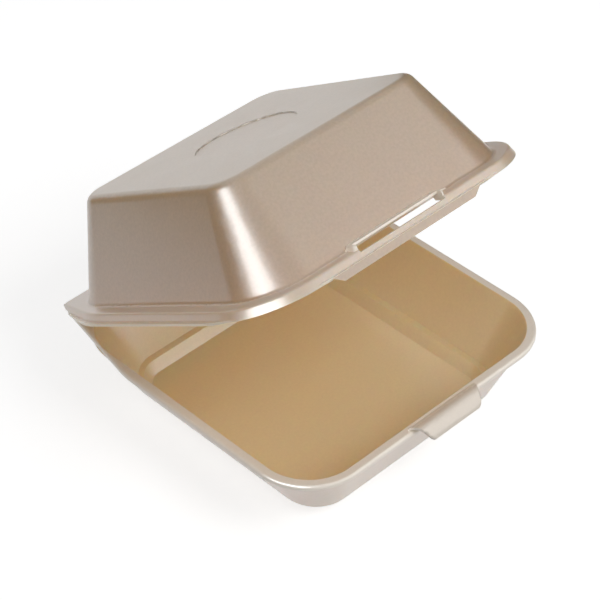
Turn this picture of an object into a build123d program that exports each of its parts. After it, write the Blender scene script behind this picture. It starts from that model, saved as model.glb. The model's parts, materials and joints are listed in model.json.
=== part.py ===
from build123d import *
from math import cos, hypot, radians, sin
import os

# A foam clamshell: a drafted tray and a domed lid formed in one sheet, folding at the back.
# The origin is the middle of the tray's underside; X runs along the fold, the front faces -Y.

os.makedirs("parts", exist_ok=True)

# Foam sheet and running clearances
sheet = 2.2
seat_gap = 0.3
skirt_gap = 0.35
overrun = 5.0
pick_tolerance = 0.02

# Tray: inside floor, stepped foot and drafted walls
floor_length = 97.0
floor_depth = 98.8
floor_corner = 9.5
foot_height = 5.0
foot_draft = 2.0
step_width = 2.2
tray_depth = 29.5
underside_round = 2.4
floor_bevel = 1.2
step_slope = 0.8

# Rim of the tray, with ears that run back to the fold
rim_length = 141.0
rim_depth = 138.0
rim_land = 4.3
rim_corner = 25.0
rim_thickness = 2.6
rim_round = 1.3
rim_under_bevel = 0.7
mouth_bevel = 0.6
rim_shift = 2.0
ear_start = 32.0
ear_round = 40.0
ear_tip_round = 3.0
ear_inset = 9.5

# Fold at the back: a pressed bead on the hinge axis
fold_reach = 6.6
fold_lift = 0.2
bead_radius = 1.0
fold_gap = 0.3

# Tongue on the front of the tray
tongue_root = 34.0
tongue_tip = 27.4
tongue_reach = 6.8
tongue_inset = 2.6
tongue_rise = 2.6
tongue_droop = 1.0
tongue_thickness = 1.3
tongue_corner = 3.0
tongue_shift = 2.0
tongue_flare = 0.9

# Lid: dome, ledge, skirt and lip, all measured from the tray's rim with the lid shut
lid_open_angle = 32.3
lid_height = 41.2
lid_top_length = 102.0
lid_top_depth = 96.4
lid_top_shift = 4.5
lid_top_corner = 11.0
lid_top_round = 4.4
lid_inner_bevel = 2.0
dome_foot_corner = 22.0
dome_foot_round = 2.0
ledge_sheet = 1.7
ledge_side = 5.7
ledge_front = 4.1
ledge_back = 9.5
ledge_round = 1.2
skirt_top = 1.0
skirt_foot = 2.4
skirt_drop = 1.6
lip_side = 2.0
lip_front = 0.6
lip_corner = 36.0
lid_ear_start = 44.0
lip_thickness = 0.9
skirt_fade = 13.0

# Slot, brow and pull flap on the lid's front
slot_length = 44.0
slot_shift = -1.75
slot_low = 0.9
slot_edge = 1.2
slot_back = 1.0
brow_width = 1.5
brow_height = 2.0
brow_inset = 0.5
brow_corner = 1.4
brow_bevel = 0.5
flap_length = 77.0
flap_tip_length = 68.0
flap_drop = 2.6
flap_bulge = 0.8
flap_top = -1.0

# Plain round panel pressed into the lid's top
panel_radius = 21.0
panel_depth = 0.45

# Levels and lines that the pieces share
rim_top = sheet + tray_depth
rim_front = rim_shift - rim_depth / 2
rim_back = rim_shift + rim_depth / 2
fold_line = rim_back + fold_reach
fold_level = rim_top + fold_lift
fold_length = rim_length - 2 * ear_inset
wall_height = tray_depth - foot_height
wall_run = rim_length / 2 - rim_land - floor_length / 2 - foot_draft - step_width
sheet_lean = sheet * wall_run / wall_height
skin = hypot(sheet, sheet_lean) - sheet_lean

floor_size = (floor_length, floor_depth, floor_corner)
mouth_size = (rim_length - 2 * rim_land, rim_depth - 2 * rim_land, rim_corner - rim_land)


def grown(size, by):
    """A rounded rectangle's length, depth and corner, moved outwards by one amount."""
    return (size[0] + 2 * by, size[1] + 2 * by, size[2] + by)


def section(plane, size, centre):
    """A rounded rectangle on a plane, centred at a place along the plane's own Y."""
    with BuildSketch(plane) as outline:
        with Locations((0, centre)):
            RectangleRounded(*size)
    return outline.sketch


def rim_outline(plane, ear, side_growth, front_growth, tip_growth, corner, back):
    """Plan of the rim: rounded at the front, with ears that run in a straight line to the fold."""
    side = rim_length / 2 + side_growth
    ear_tip = fold_length / 2 + tip_growth
    front = rim_front - front_growth
    with BuildSketch(plane) as outline:
        with BuildLine():
            Polyline(
                (-side, front),
                (side, front),
                (side, ear),
                (ear_tip, back),
                (-ear_tip, back),
                (-side, ear),
                close=True,
            )
        make_face()
        fillet(outline.vertices().group_by(Axis.Y)[0], corner)
        fillet(outline.vertices().filter_by_position(Axis.Y, ear, ear), ear_round)
        fillet(outline.vertices().group_by(Axis.Y)[-1], ear_tip_round)
    return outline.sketch


def at_height(edges, frame, height):
    """Edges that lie level in a frame, at one height above it."""
    return edges.filter_by(
        lambda edge: all(
            abs(frame.to_local_coords(edge.position_at(place)).Z - height) < pick_tolerance
            for place in (0, 1)
        )
    )


def within(edges, frame, size, centre):
    """Edges whose middles lie inside a rounded rectangle's length and depth."""

    def inside(edge):
        middle = frame.to_local_coords(edge.center())
        in_length = abs(middle.X) < size[0] / 2 + pick_tolerance
        return in_length and abs(middle.Y - centre) < size[1] / 2 + pick_tolerance

    return edges.filter_by(inside)


# Hollow of the tray: a short foot, a sloping step all round and the drafted walls above it
foot_size = grown(floor_size, foot_draft)
step_size = grown(foot_size, step_width)
step_level = sheet + foot_height

with BuildPart() as tray_hollow:
    loft(
        sections=[
            section(Plane.XY.offset(sheet), grown(floor_size, -floor_bevel), 0),
            section(Plane.XY.offset(sheet + floor_bevel), floor_size, 0),
            section(Plane.XY.offset(step_level - step_slope), foot_size, 0),
            section(Plane.XY.offset(step_level), step_size, 0),
            section(Plane.XY.offset(rim_top - mouth_bevel), mouth_size, rim_shift),
            section(Plane.XY.offset(rim_top), grown(mouth_size, mouth_bevel), rim_shift),
        ],
        ruled=True,
    )

# Tongue: an arched tab that rises over the rim and droops past it, narrower at its tip
with BuildPart() as tongue:
    with BuildSketch(Plane.YZ) as arch:
        with BuildLine():
            rim_end = rim_front + tongue_inset
            crest = rim_front - skirt_gap
            tip = rim_front - tongue_reach
            top_line = Spline(
                (rim_end, rim_top),
                (crest, rim_top + tongue_rise),
                (tip, rim_top - tongue_droop),
            )
            under_line = Spline(
                (rim_end, rim_top - tongue_thickness),
                (crest, rim_top + tongue_rise - tongue_thickness),
                (tip, rim_top - tongue_droop - tongue_thickness),
            )
            Line(top_line @ 0, under_line @ 0)
            Line(top_line @ 1, under_line @ 1)
        make_face()
    extrude(amount=tongue_root, both=True)
    with BuildSketch(Plane.XY.offset(rim_top - overrun)) as tab:
        with BuildLine():
            Polyline(
                (tongue_shift - tongue_root / 2 - tongue_flare, rim_end),
                (tongue_shift - tongue_root / 2, rim_front),
                (tongue_shift - tongue_tip / 2, tip),
                (tongue_shift + tongue_tip / 2, tip),
                (tongue_shift + tongue_root / 2, rim_front),
                (tongue_shift + tongue_root / 2 + tongue_flare, rim_end),
                close=True,
            )
        make_face()
        fillet(tab.vertices().group_by(Axis.Y)[0], tongue_corner)
    extrude(amount=2 * overrun, mode=Mode.INTERSECT)

# Rim: a flat flange, rounded over its outer edge, with ears that reach the fold
with BuildPart() as rim:
    flange = rim_outline(Plane.XY.offset(rim_top), ear_start, 0, 0, 0, rim_corner, fold_line)
    extrude(flange, amount=-rim_thickness)
    fillet(at_height(rim.edges(), Plane.XY, rim_top), rim_round)
    chamfer(at_height(rim.edges(), Plane.XY, rim_top - rim_thickness), rim_under_bevel)

# Tray with its rim, ears, tongue and the bead of the fold
with BuildPart() as base:
    loft(
        sections=[
            section(Plane.XY, grown(floor_size, skin), 0),
            section(Plane.XY.offset(foot_height), grown(foot_size, skin), 0),
        ],
        ruled=True,
    )
    fillet(at_height(base.edges(), Plane.XY, 0), underside_round)
    loft(
        sections=[
            section(Plane.XY.offset(foot_height), grown(step_size, skin), 0),
            section(Plane.XY.offset(rim_top - sheet), grown(mouth_size, skin), rim_shift),
        ],
        ruled=True,
    )
    add(rim.part)
    with BuildSketch(Plane.YZ.offset(-fold_length / 2)):
        with Locations((fold_line, fold_level)):
            Circle(bead_radius)
    extrude(amount=fold_length)
    add(tray_hollow.part, mode=Mode.SUBTRACT)
    add(tongue.part)

base.part.label = "base"
export_step(base.part, "parts/base.step")

# Lid frame: level with the rim when shut, turned about the fold by the opening angle
turn = radians(lid_open_angle)
lid_frame = Plane(
    origin=(
        0,
        fold_line - fold_line * cos(turn) - fold_lift * sin(turn),
        fold_level + fold_line * sin(turn) - fold_lift * cos(turn),
    ),
    x_dir=(1, 0, 0),
    z_dir=(0, sin(turn), cos(turn)),
)

ledge_top = seat_gap + ledge_sheet
flap_low = -skirt_drop - flap_drop
skirt_lean = (skirt_foot - skirt_top) / (ledge_top + skirt_drop)
ledge_edge = rim_front - skirt_top
leaf_back = fold_line - bead_radius - fold_gap
dome_front = ledge_edge + ledge_front
dome_back = fold_line - ledge_back
dome_foot_depth = dome_back - dome_front
dome_foot_shift = (dome_back + dome_front) / 2
dome_foot_size = (rim_length + 2 * skirt_top - 2 * ledge_side, dome_foot_depth, dome_foot_corner)
lid_top_size = (lid_top_length, lid_top_depth, lid_top_corner)


def lid_point(x, y, z):
    """A place on the lid, given with the lid shut and measured from the rim."""
    return lid_frame.from_local_coords((x, y, z))


def skirt_section(height, growth):
    """Plan of the skirt at one height, grown evenly from the tray's rim and cut square at the fold."""
    level = lid_frame.offset(height)
    return rim_outline(level, lid_ear_start, growth, growth, growth, rim_corner + growth, leaf_back)


def across_plane(x):
    """A plane across the lid at one place along the fold, with its X to the back and its Y up."""
    return Plane(origin=lid_point(x, 0, 0), x_dir=lid_frame.y_dir, z_dir=lid_frame.x_dir)


# Hollow of the dome
with BuildPart() as lid_hollow:
    loft(
        sections=[
            section(lid_frame.offset(seat_gap), grown(dome_foot_size, -skin), dome_foot_shift),
            section(lid_frame.offset(lid_height - sheet), grown(lid_top_size, -skin), lid_top_shift),
        ],
        ruled=True,
    )
    chamfer(at_height(lid_hollow.edges(), lid_frame, lid_height - sheet), lid_inner_bevel)

# Brow: a low pad that raises the ledge round the slot
with BuildPart() as brow:
    with BuildSketch(lid_frame.offset(seat_gap)):
        with Locations((slot_shift, ledge_edge + brow_inset)):
            RectangleRounded(
                slot_length + 2 * brow_width,
                ledge_front + brow_width,
                brow_corner,
                align=(Align.CENTER, Align.MIN),
            )
    extrude(amount=ledge_sheet + brow_height)
    chamfer(at_height(brow.edges(), lid_frame, ledge_top + brow_height), brow_bevel)

# Lid: dome on a flat ledge, a skirt that drops round the rim and a lip that stands out at the sides
with BuildPart() as lid:
    loft(
        sections=[
            section(lid_frame.offset(seat_gap), dome_foot_size, dome_foot_shift),
            section(lid_frame.offset(lid_height), lid_top_size, lid_top_shift),
        ],
        ruled=True,
    )
    fillet(at_height(lid.edges(), lid_frame, lid_height), lid_top_round)
    loft(
        sections=[skirt_section(ledge_top, skirt_top), skirt_section(-skirt_drop, skirt_foot)],
        ruled=True,
    )
    ledge_edges = at_height(lid.edges(), lid_frame, ledge_top)
    foot_edges = within(ledge_edges, lid_frame, dome_foot_size, dome_foot_shift)
    fillet(ledge_edges - foot_edges, ledge_round)
    fillet(foot_edges, dome_foot_round)
    lip_plan = rim_outline(
        lid_frame.offset(-skirt_drop),
        lid_ear_start,
        skirt_foot + lip_side,
        skirt_foot + lip_front,
        skirt_foot,
        lip_corner,
        leaf_back,
    )
    extrude(lip_plan, amount=lip_thickness)

    # Pull flap: the middle of the front skirt stands out a little and hangs lower
    flap_face = Plane(
        origin=lid_point(0, rim_front, 0), x_dir=lid_frame.x_dir, z_dir=-lid_frame.y_dir
    )
    with BuildSketch(flap_face) as flap:
        with BuildLine():
            Polyline(
                (slot_shift - flap_length / 2, flap_top),
                (slot_shift - flap_tip_length / 2, flap_low),
                (slot_shift + flap_tip_length / 2, flap_low),
                (slot_shift + flap_length / 2, flap_top),
                close=True,
            )
        make_face()
    extrude(amount=skirt_foot + flap_bulge)

    add(brow.part)

    # Room for the tray's rim inside the skirt, and for the contents inside the dome
    rim_room = skirt_gap + skirt_lean * (seat_gap - flap_low)
    loft(
        sections=[skirt_section(seat_gap, skirt_gap), skirt_section(flap_low, rim_room)],
        ruled=True,
        mode=Mode.SUBTRACT,
    )
    add(lid_hollow.part, mode=Mode.SUBTRACT)

    # The skirt fades out before the fold
    with BuildSketch(across_plane(-rim_length)):
        with BuildLine():
            Polyline(
                (leaf_back - skirt_fade, -skirt_drop - overrun),
                (fold_line + overrun, -skirt_drop - overrun),
                (fold_line + overrun, seat_gap),
                (leaf_back - bead_radius, seat_gap),
                (leaf_back - skirt_fade, -skirt_drop),
                close=True,
            )
        make_face()
    extrude(amount=2 * rim_length, mode=Mode.SUBTRACT)

    # Slot: through the ledge at the foot of the front wall and down into the skirt
    with BuildSketch(across_plane(slot_shift - slot_length / 2)):
        with BuildLine():
            slot_rear = dome_front - slot_back
            Polyline(
                (ledge_edge - overrun, slot_low),
                (rim_front - skirt_gap, slot_low),
                (rim_front - skirt_gap, 0),
                (dome_front + rim_land, 0),
                (slot_rear, ledge_top + slot_edge),
                (slot_rear, ledge_top + brow_height + overrun),
                (ledge_edge - overrun, ledge_top + brow_height + overrun),
                close=True,
            )
        make_face()
    extrude(amount=slot_length, mode=Mode.SUBTRACT)

    # Round panel, pressed a little into the top
    with BuildSketch(lid_frame.offset(lid_height)):
        with Locations((0, lid_top_shift)):
            Circle(panel_radius)
    extrude(amount=-panel_depth, mode=Mode.SUBTRACT)

lid.part.label = "lid"
export_step(lid.part, "parts/lid.step")
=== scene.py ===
"""Foam clamshell container, half open on a pale floor: a formed foam tray with its hinged lid."""
import json
from math import cos, radians, sin

import bpy
from mathutils import Matrix, Vector


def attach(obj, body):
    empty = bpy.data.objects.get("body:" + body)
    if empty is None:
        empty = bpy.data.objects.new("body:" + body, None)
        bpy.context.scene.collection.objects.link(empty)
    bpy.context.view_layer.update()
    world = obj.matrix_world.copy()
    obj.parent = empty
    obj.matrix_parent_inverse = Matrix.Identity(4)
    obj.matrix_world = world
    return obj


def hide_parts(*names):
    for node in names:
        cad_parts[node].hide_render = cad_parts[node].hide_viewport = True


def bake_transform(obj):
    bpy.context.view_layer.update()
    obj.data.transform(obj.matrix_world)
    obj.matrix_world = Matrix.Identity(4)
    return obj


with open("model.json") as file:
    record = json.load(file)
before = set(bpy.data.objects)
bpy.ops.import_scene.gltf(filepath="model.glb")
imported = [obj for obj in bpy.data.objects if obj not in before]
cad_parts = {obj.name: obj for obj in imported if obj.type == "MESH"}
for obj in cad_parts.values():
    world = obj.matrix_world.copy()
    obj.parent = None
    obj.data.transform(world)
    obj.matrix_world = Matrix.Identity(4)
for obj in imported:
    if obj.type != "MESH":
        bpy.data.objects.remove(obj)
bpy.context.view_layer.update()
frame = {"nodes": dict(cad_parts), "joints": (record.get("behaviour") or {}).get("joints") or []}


def nothing_selected():
    """Leaves every object unselected, so that an operator acts on one piece alone."""
    if bpy.context.object and bpy.context.object.mode != "OBJECT":
        bpy.ops.object.mode_set(mode="OBJECT")
    bpy.ops.object.select_all(action="DESELECT")


def made_active(piece):
    """Selects one piece and makes it the active one."""
    nothing_selected()
    piece.select_set(True)
    bpy.context.view_layer.objects.active = piece


# Finishes


def foam_grain_group():
    """Skin of formed foam: bead cells, a fine speckle, a soft mottle and a slow ripple."""
    group = bpy.data.node_groups.new("foam_grain", "ShaderNodeTree")
    face = group.interface
    face.new_socket("Position", in_out="INPUT", socket_type="NodeSocketVector")
    face.new_socket("Light Colour", in_out="INPUT", socket_type="NodeSocketColor")
    face.new_socket("Deep Colour", in_out="INPUT", socket_type="NodeSocketColor")
    face.new_socket("Colour", in_out="OUTPUT", socket_type="NodeSocketColor")
    face.new_socket("Roughness", in_out="OUTPUT", socket_type="NodeSocketFloat")
    face.new_socket("Height", in_out="OUTPUT", socket_type="NodeSocketFloat")
    nodes, links = group.nodes, group.links
    entry = nodes.new("NodeGroupInput")
    leave = nodes.new("NodeGroupOutput")

    def noise(scale, detail):
        """A noise over the surface."""
        clouds = nodes.new("ShaderNodeTexNoise")
        clouds.inputs["Scale"].default_value = scale
        clouds.inputs["Detail"].default_value = detail
        links.new(entry.outputs["Position"], clouds.inputs["Vector"])
        return clouds.outputs["Fac"]

    speckle = noise(scale=900, detail=2)
    mottle = noise(scale=70, detail=3)
    ripple = noise(scale=38, detail=1)
    cells = nodes.new("ShaderNodeTexVoronoi")
    cells.feature = "SMOOTH_F1"
    cells.inputs["Scale"].default_value = 1500
    cells.inputs["Smoothness"].default_value = 0.4
    links.new(entry.outputs["Position"], cells.inputs["Vector"])

    crisp = nodes.new("ShaderNodeMapRange")
    crisp.inputs["From Min"].default_value = 0.32
    crisp.inputs["From Max"].default_value = 0.68
    links.new(speckle, crisp.inputs["Value"])
    part_mottle = nodes.new("ShaderNodeMath")
    part_mottle.operation = "MULTIPLY"
    part_mottle.inputs[1].default_value = 0.3
    links.new(mottle, part_mottle.inputs[0])
    depth = nodes.new("ShaderNodeMath")
    depth.operation = "MULTIPLY_ADD"
    depth.inputs[1].default_value = 0.7
    links.new(crisp.outputs["Result"], depth.inputs[0])
    links.new(part_mottle.outputs["Value"], depth.inputs[2])
    tint = nodes.new("ShaderNodeMix")
    tint.data_type = "RGBA"
    links.new(depth.outputs["Value"], tint.inputs["Factor"])
    links.new(entry.outputs["Light Colour"], tint.inputs[6])
    links.new(entry.outputs["Deep Colour"], tint.inputs[7])
    links.new(tint.outputs[2], leave.inputs["Colour"])

    uneven = nodes.new("ShaderNodeMath")
    uneven.operation = "MULTIPLY_ADD"
    uneven.inputs[1].default_value = 0.14
    uneven.inputs[2].default_value = 0.40
    links.new(mottle, uneven.inputs[0])
    links.new(uneven.outputs["Value"], leave.inputs["Roughness"])

    relief = nodes.new("ShaderNodeMath")
    relief.operation = "MULTIPLY_ADD"
    relief.inputs[1].default_value = 0.10
    links.new(cells.outputs["Distance"], relief.inputs[0])
    links.new(ripple, relief.inputs[2])
    links.new(relief.outputs["Value"], leave.inputs["Height"])
    return group


grain = foam_grain_group()


def foam(name, light, deep, soak):
    """A pearly foam finish in two close colours, which light soaks into as far as soak says."""
    finish = bpy.data.materials.new(name)
    finish.use_nodes = True
    nodes, links = finish.node_tree.nodes, finish.node_tree.links
    skin = nodes["Principled BSDF"]
    skin.inputs["Specular IOR Level"].default_value = 0.2
    skin.inputs["Subsurface Weight"].default_value = soak
    skin.inputs["Subsurface Radius"].default_value = (1, 0.65, 0.35)
    skin.inputs["Subsurface Scale"].default_value = 0.004
    skin.inputs["Coat Weight"].default_value = 1
    skin.inputs["Coat IOR"].default_value = 2.0
    skin.inputs["Coat Roughness"].default_value = 0.29
    place = nodes.new("ShaderNodeTexCoord")
    texture = nodes.new("ShaderNodeGroup")
    texture.node_tree = grain
    texture.inputs["Light Colour"].default_value = (*light, 1)
    texture.inputs["Deep Colour"].default_value = (*deep, 1)
    links.new(place.outputs["Object"], texture.inputs["Position"])
    links.new(texture.outputs["Colour"], skin.inputs["Base Color"])
    links.new(texture.outputs["Roughness"], skin.inputs["Roughness"])
    bump = nodes.new("ShaderNodeBump")
    bump.inputs["Strength"].default_value = 0.25
    bump.inputs["Distance"].default_value = 0.0004
    links.new(texture.outputs["Height"], bump.inputs["Height"])
    links.new(bump.outputs["Normal"], skin.inputs["Normal"])
    return finish


# The tray and the lid are one foam sheet: the tray's outside is painted a lighter tone and the
# lid's outside a darker one, as painted light and painted shade
tray_pearl_painted_light = foam("tray_pearl_painted_light", (0.80, 0.66, 0.53), (0.75, 0.62, 0.49), soak=1)
lid_pearl_painted_shade = foam("lid_pearl_painted_shade", (0.53, 0.395, 0.26), (0.46, 0.34, 0.218), soak=1)
# The hollows are the foam's gold, painted deeper as the shade of light bounced inside them; the
# lid's hollow, which faces down, is painted deeper still
tray_gold_and_painted_shade = foam("tray_gold_and_painted_shade", (0.88, 0.715, 0.45), (0.83, 0.675, 0.42), soak=1)
lid_gold_and_painted_shade = foam("lid_gold_and_painted_shade", (0.83, 0.60, 0.30), (0.78, 0.56, 0.28), soak=1)
# Painted highlight: this pale tone stands in for the sky's reflection on a rolled rim, and also
# covers the fold web and some lid edges
pale_painted_highlight = foam("pale_painted_highlight", (0.94, 0.85, 0.74), (0.90, 0.81, 0.70), soak=0)
# The tongue is the rim's foam painted darker, as painted shade against the extra light it catches
tongue_painted_shade = foam("tongue_painted_shade", (0.76, 0.665, 0.56), (0.72, 0.63, 0.53), soak=0)
# The ledge, skirt and lip are the lid's foam painted lighter, as painted light where the lid's
# wall shades the ledge
lip_painted_light = foam("lip_painted_light", (0.67, 0.55, 0.43), (0.63, 0.52, 0.405), soak=1)


# Pieces


def formed_shell(node, name, finishes, zone, is_soft):
    """The formed solid with its facets joined, its rounds smooth and a finish on each face.

    zone picks the finish for a face. An edge with both ends at soft places isn't hard.
    """
    shell = frame["nodes"][node].copy()
    shell.data = frame["nodes"][node].data.copy()
    shell.name = name
    shell.data.name = name
    shell.parent = None
    bpy.context.collection.objects.link(shell)
    for key in list(shell.keys()):
        del shell[key]
    made_active(shell)
    bpy.ops.object.mode_set(mode="EDIT")
    bpy.ops.mesh.select_all(action="SELECT")
    bpy.ops.mesh.remove_doubles(threshold=0.000002)
    bpy.ops.mesh.customdata_custom_splitnormals_clear()
    bpy.ops.object.mode_set(mode="OBJECT")
    bpy.ops.object.shade_smooth_by_angle(angle=radians(32))
    corners = shell.data.vertices
    for edge in shell.data.edges:
        if all(is_soft(corners[end].co) for end in edge.vertices):
            edge.use_edge_sharp = False
    even = shell.modifiers.new("even_normals", "WEIGHTED_NORMAL")
    even.keep_sharp = True
    bpy.ops.object.modifier_apply(modifier=even.name)
    shell.data.materials.clear()
    for finish in finishes:
        shell.data.materials.append(finish)
    for face in shell.data.polygons:
        face.material_index = zone(face.center, face.normal)
    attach(shell, node)
    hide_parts(node)
    return shell


# Places on the tray, in metres

tray_middle = 0.002
tray_eye = Vector((0, tray_middle, 0.06))
mouth_half_length = 0.0668
mouth_half_depth = 0.0654
inner_floor = 0.002
mouth_top = 0.0316
rim_foot = 0.0288
tongue_shift = 0.002
tongue_back = -0.0672
tongue_half_length = 0.018
root_back = -0.064
root_half_length = 0.0155
root_foot = 0.0295


def tray_zone(place, facing):
    """The tray's outside is 0, its hollow 1, its rim and ears 2, and its tongue 3."""
    beside = abs(place.x) < mouth_half_length and abs(place.y - tray_middle) < mouth_half_depth
    in_mouth = beside and inner_floor < place.z < mouth_top
    if in_mouth and facing.dot(tray_eye - place) > 0:
        return 1
    if place.z < rim_foot:
        return 0
    on_tongue = place.y < tongue_back and abs(place.x - tongue_shift) < tongue_half_length
    # The rim and ears take the pale painted highlight, and the tongue takes that tone in painted
    # shade
    return 3 if on_tongue else 2


def tray_soft(place):
    """Where the tongue leaves the rim."""
    in_width = abs(place.x - tongue_shift) < root_half_length
    return in_width and place.y < root_back and place.z > root_foot


# Places on the lid, in metres: heights above the fold, and reaches forward of it

fold = Vector(frame["joints"][0]["pos_m"])
open_angle = -radians(frame["joints"][0]["range_deg"][0])
lid_back = Vector((0, cos(open_angle), -sin(open_angle)))
lid_up = Vector((0, sin(open_angle), cos(open_angle)))
lid_eye = fold - 0.073 * lid_back - 0.06 * lid_up
hollow_top = 0.0395
panel_foot = 0.0402
ledge_top = 0.0021
slot_back = 0.1375
slot_half_length = 0.026
brow_top = 0.0045
flap_back = 0.1420
flap_face = 0.1477
flap_half_length = 0.041
flap_line_low, flap_line_high = -0.0016, -0.0008
flap_soft_low, flap_soft_high = -0.0020, -0.0006
# Shares of a face's direction
level_share = 0.5
sideways_share = 0.7


def lid_height(place):
    """How far a place lies above the fold, square to the lid's ledge."""
    return (place - fold).dot(lid_up)


def lid_reach(place):
    """How far a place lies forward of the fold, along the lid's ledge."""
    return (fold - place).dot(lid_back)


def lid_zone(place, facing):
    """The lid's outside and flap are 0, its hollow 1, its ledge, skirt and lip 2 in painted light,
    and painted highlights 3.
    """
    height, reach = lid_height(place), lid_reach(place)
    rise = facing.dot(lid_up)
    in_slot = reach > slot_back and abs(place.x) < slot_half_length
    painted_panel_edge = height > panel_foot and rise < level_share
    slot_end = abs(facing.x) > sideways_share
    painted_brow = in_slot and (ledge_top < height < brow_top or slot_end)
    painted_flap_line = reach > flap_back and flap_line_low < height < flap_line_high
    # Painted highlight: the round panel's edge, the brow and the flap's upper line take the pale
    # tone over the shade in their steps and creases, and the slot's ends take it for light shining
    # through them
    if painted_panel_edge or painted_brow or (painted_flap_line and rise > level_share):
        return 3
    if height < hollow_top and not in_slot and facing.dot(lid_eye - place) > 0:
        return 1
    # The ledge, skirt and lip take the lid's tone painted lighter
    return 2 if height < ledge_top and reach < flap_face else 0


def lid_soft(place):
    """The round panel on the lid's top and the pull flap's upper line."""
    height = lid_height(place)
    on_flap = lid_reach(place) > flap_back and abs(place.x) < flap_half_length
    return height > panel_foot or (on_flap and flap_soft_low < height < flap_soft_high)


tray_finishes = (tray_pearl_painted_light, tray_gold_and_painted_shade, pale_painted_highlight, tongue_painted_shade)
tray = formed_shell("base", "foam_tray", tray_finishes, tray_zone, tray_soft)
lid_finishes = (lid_pearl_painted_shade, lid_gold_and_painted_shade, lip_painted_light, pale_painted_highlight)
lid = formed_shell("lid", "foam_lid_shell", lid_finishes, lid_zone, lid_soft)


def fold_web():
    """The pressed line of the fold: one thin skin from the lid's back edge round the bead."""
    length = 0.117
    thickness = 0.0004
    bead_radius = 0.00112
    bead_turns = (62, 38, 14, -10, -34, -58)
    leaf = [(-0.0034, 0.0019), (-0.0022, 0.0018), (-0.0013, 0.0013)]
    line = [fold + along * lid_back + above * lid_up for along, above in leaf]
    for degrees in bead_turns:
        turn = radians(degrees)
        line.append(fold + bead_radius * Vector((0, cos(turn), sin(turn))))
    nothing_selected()
    bpy.ops.mesh.primitive_plane_add(size=length, location=(0, 0, 0))
    web = bpy.context.object
    web.name = "fold_web"
    for corner in web.data.vertices:
        place = line[0] if corner.co.y > 0 else line[1]
        corner.co = (corner.co.x, place.y, place.z)
    bpy.ops.object.mode_set(mode="EDIT")
    bpy.ops.mesh.select_mode(type="EDGE")
    bpy.ops.mesh.select_all(action="DESELECT")
    bpy.ops.object.mode_set(mode="OBJECT")
    for corner in web.data.vertices:
        corner.select = abs(corner.co.z - line[1].z) < 1e-6
    for edge in web.data.edges:
        edge.select = all(web.data.vertices[end].select for end in edge.vertices)
    bpy.ops.object.mode_set(mode="EDIT")
    for here, there in zip(line[1:], line[2:]):
        bpy.ops.mesh.extrude_edges_move(TRANSFORM_OT_translate={"value": there - here})
    bpy.ops.mesh.select_all(action="SELECT")
    bpy.ops.mesh.normals_make_consistent(inside=False)
    bpy.ops.object.mode_set(mode="OBJECT")
    skin = web.modifiers.new("skin", "SOLIDIFY")
    skin.thickness = thickness
    skin.offset = 0
    bpy.ops.object.modifier_apply(modifier=skin.name)
    soft = web.modifiers.new("soft", "SUBSURF")
    soft.levels = soft.render_levels = 1
    bpy.ops.object.modifier_apply(modifier=soft.name)
    bpy.ops.object.shade_smooth()
    # The web takes the pale painted highlight tone
    web.data.materials.append(pale_painted_highlight)
    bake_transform(web)


fold_web()


# Stage: a pale floor, a white room, soft lights, felt cards and the camera


def showing_rays(tree):
    """1 for the rays that show a thing to the camera, in a gloss or through glass, and else 0."""
    path = tree.nodes.new("ShaderNodeLightPath")
    shown = path.outputs["Is Camera Ray"]
    for kind in ("Is Glossy Ray", "Is Transmission Ray"):
        either = tree.nodes.new("ShaderNodeMath")
        either.operation = "MAXIMUM"
        tree.links.new(shown, either.inputs[0])
        tree.links.new(path.outputs[kind], either.inputs[1])
        shown = either.outputs["Value"]
    return shown


nothing_selected()
bpy.ops.mesh.primitive_plane_add(size=6, location=(0, 0, 0))
floor = bpy.context.object
floor.name = "floor"
paper = bpy.data.materials.new("pale_paper")
paper.use_nodes = True
matt = paper.node_tree.nodes["Principled BSDF"]
matt.inputs["Base Color"].default_value = (0.55, 0.55, 0.55, 1)
matt.inputs["Roughness"].default_value = 0.9
matt.inputs["Specular IOR Level"].default_value = 0.1
matt.inputs["Emission Color"].default_value = (1, 1, 1, 1)
glow = paper.node_tree.nodes.new("ShaderNodeMath")
glow.operation = "MULTIPLY"
glow.inputs[1].default_value = 0.70
paper.node_tree.links.new(showing_rays(paper.node_tree), glow.inputs[0])
paper.node_tree.links.new(glow.outputs["Value"], matt.inputs["Emission Strength"])
floor.data.materials.append(paper)

room = bpy.data.worlds.new("white_room")
bpy.context.scene.world = room
room.use_nodes = True
dome = room.node_tree.nodes["Background"]
dome.inputs["Color"].default_value = (1, 1, 1, 1)
level = room.node_tree.nodes.new("ShaderNodeMapRange")
level.inputs["To Min"].default_value = 0.38
level.inputs["To Max"].default_value = 1
room.node_tree.links.new(showing_rays(room.node_tree), level.inputs["Value"])
room.node_tree.links.new(level.outputs["Result"], dome.inputs["Strength"])


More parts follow.
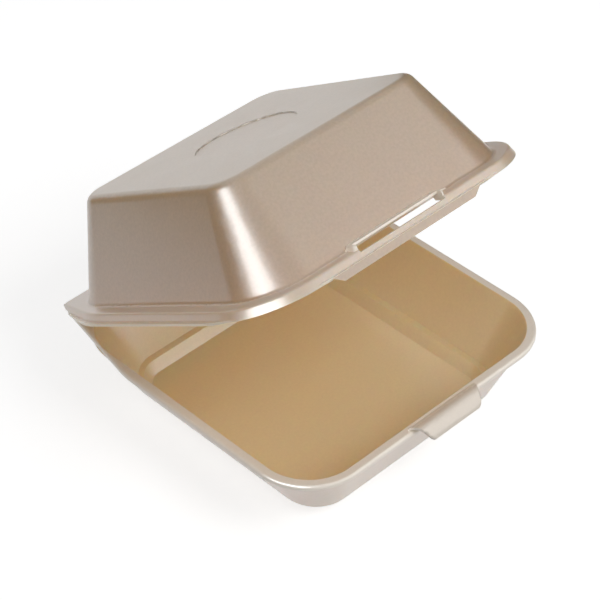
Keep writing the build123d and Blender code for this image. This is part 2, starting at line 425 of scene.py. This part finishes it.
def soft_light(name, place, aim, width, depth, watts):
    """A softbox at one place, turned to face a point."""
    lamp = bpy.data.lights.new(name, "AREA")
    lamp.shape = "RECTANGLE"
    lamp.size = width
    lamp.size_y = depth
    lamp.energy = watts
    holder = bpy.data.objects.new(name, lamp)
    bpy.context.collection.objects.link(holder)
    toward = Vector(place) - Vector(aim)
    holder.rotation_euler = toward.to_track_quat("Z", "Y").to_euler()
    holder.location = place
    return holder


# The front light makes no gloss, and the other two make only gloss
key = soft_light("front", (0.18, -0.78, 0.97), (0, 0, 0.05), 0.6, 0.6, watts=5.3)
key.visible_glossy = False
gleam = soft_light(
    "corner_gleam", (-0.82, -0.22, 0.68), (-0.06, -0.02, 0.1), 0.95, 0.75, watts=17
)
gleam.visible_diffuse = False
sheen = soft_light("front_sheen", (0.6, -0.75, 0.55), (0, -0.03, 0.08), 1.1, 1.1, watts=3.4)
sheen.visible_diffuse = False


def felt_card(name, colour, place, size, turn):
    """A felt card that stands beside the box and shows only in its gloss."""
    cloth = bpy.data.materials.new(name + "_felt")
    cloth.use_nodes = True
    felt = cloth.node_tree.nodes["Principled BSDF"]
    felt.inputs["Base Color"].default_value = (*colour, 1)
    felt.inputs["Roughness"].default_value = 1
    nothing_selected()
    upright = (radians(90), 0, radians(turn))
    bpy.ops.mesh.primitive_plane_add(size=size, location=place, rotation=upright)
    card = bpy.context.object
    card.name = name
    card.data.materials.append(cloth)
    card.visible_camera = card.visible_diffuse = card.visible_shadow = False


felt_card("right_card", (0.02, 0.02, 0.02), (0.35, 0.14, 0.19), size=0.5, turn=90)
felt_card("left_card", (0.9, 0.55, 0.25), (-0.2, 0.2, 0.2), size=0.34, turn=35)

# The camera's place and lens were fitted to the box's outline in the photo
eye = bpy.data.cameras.new("photo_view")
eye.lens = 136.56
eye.sensor_width = 36
eye.clip_start = 0.01
camera = bpy.data.objects.new("photo_view", eye)
bpy.context.collection.objects.link(camera)
camera.matrix_world = Matrix((
    (0.70864, 0.45642, -0.53806, -0.47674),
    (-0.70553, 0.46636, -0.53361, -0.46477),
    (0.00738, 0.75775, 0.65250, 0.61940),
    (0, 0, 0, 1),
))
bpy.context.scene.camera = camera
bpy.context.scene.view_settings.view_transform = "Standard"
